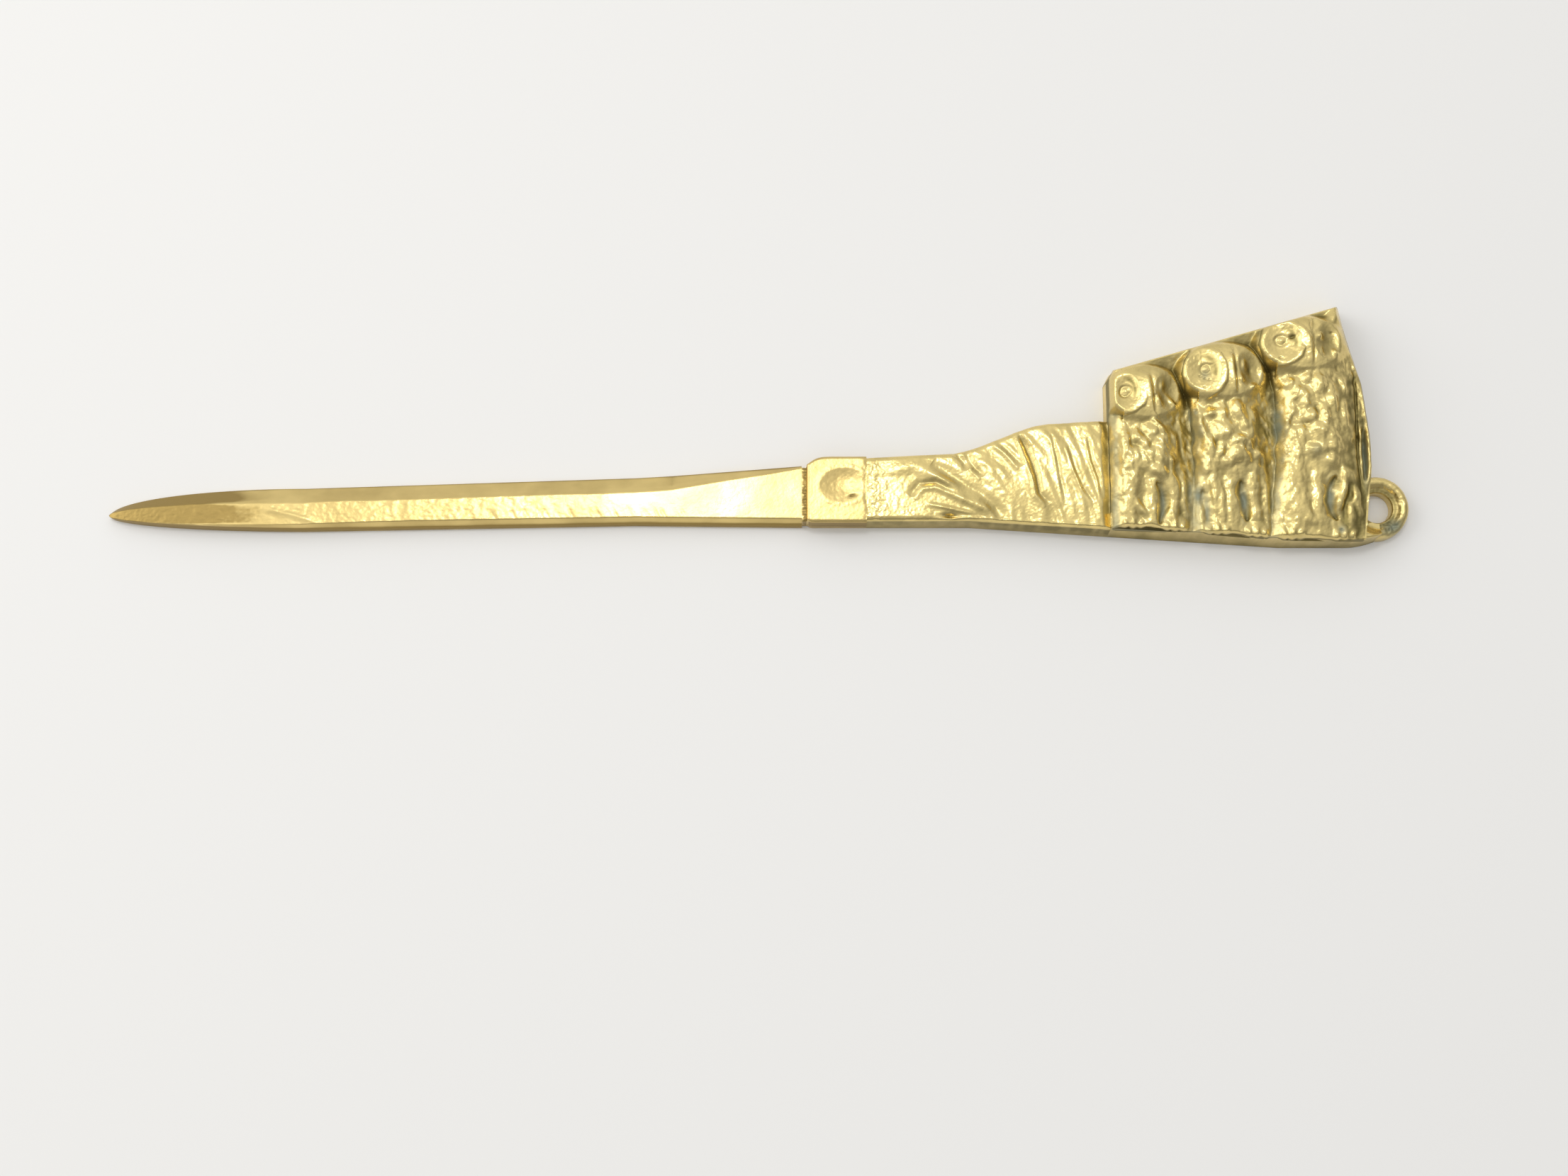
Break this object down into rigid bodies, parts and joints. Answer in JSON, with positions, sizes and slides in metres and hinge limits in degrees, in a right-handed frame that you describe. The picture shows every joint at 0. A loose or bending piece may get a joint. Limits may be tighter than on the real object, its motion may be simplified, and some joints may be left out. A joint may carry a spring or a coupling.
{
  "type": "letter opener",
  "caption": "Cast brass letter opener with a bevelled pointed blade, a thumb dish, a bark grip, a relief of perched owls in growing sizes and a hanging loop.",
  "frame": {"origin": "middle of the outline on the flat back that the letter opener lies on", "axes": "+X from the blade's point to the hanging loop, +Y from the perch to the owls' heads, +Z out of the relief"},
  "size_m": [0.21, 0.0398, 0.0098],
  "materials": {
    "polished_brass": "filed and rubbed bright over a cast surface",
    "cast_brass": "cast relief, rubbed bright on the high places and dull with tarnish in the hollows"
  },
  "bodies": {
    "root": {"blade": "polished_brass", "bolster": "polished_brass", "bark_grip": "cast_brass", "back_plate": "cast_brass", "perch": "cast_brass", "small_owl": "cast_brass", "middle_owl": "cast_brass", "large_owl": "cast_brass", "hanging_loop": "cast_brass"}
  },
  "joints": []
}
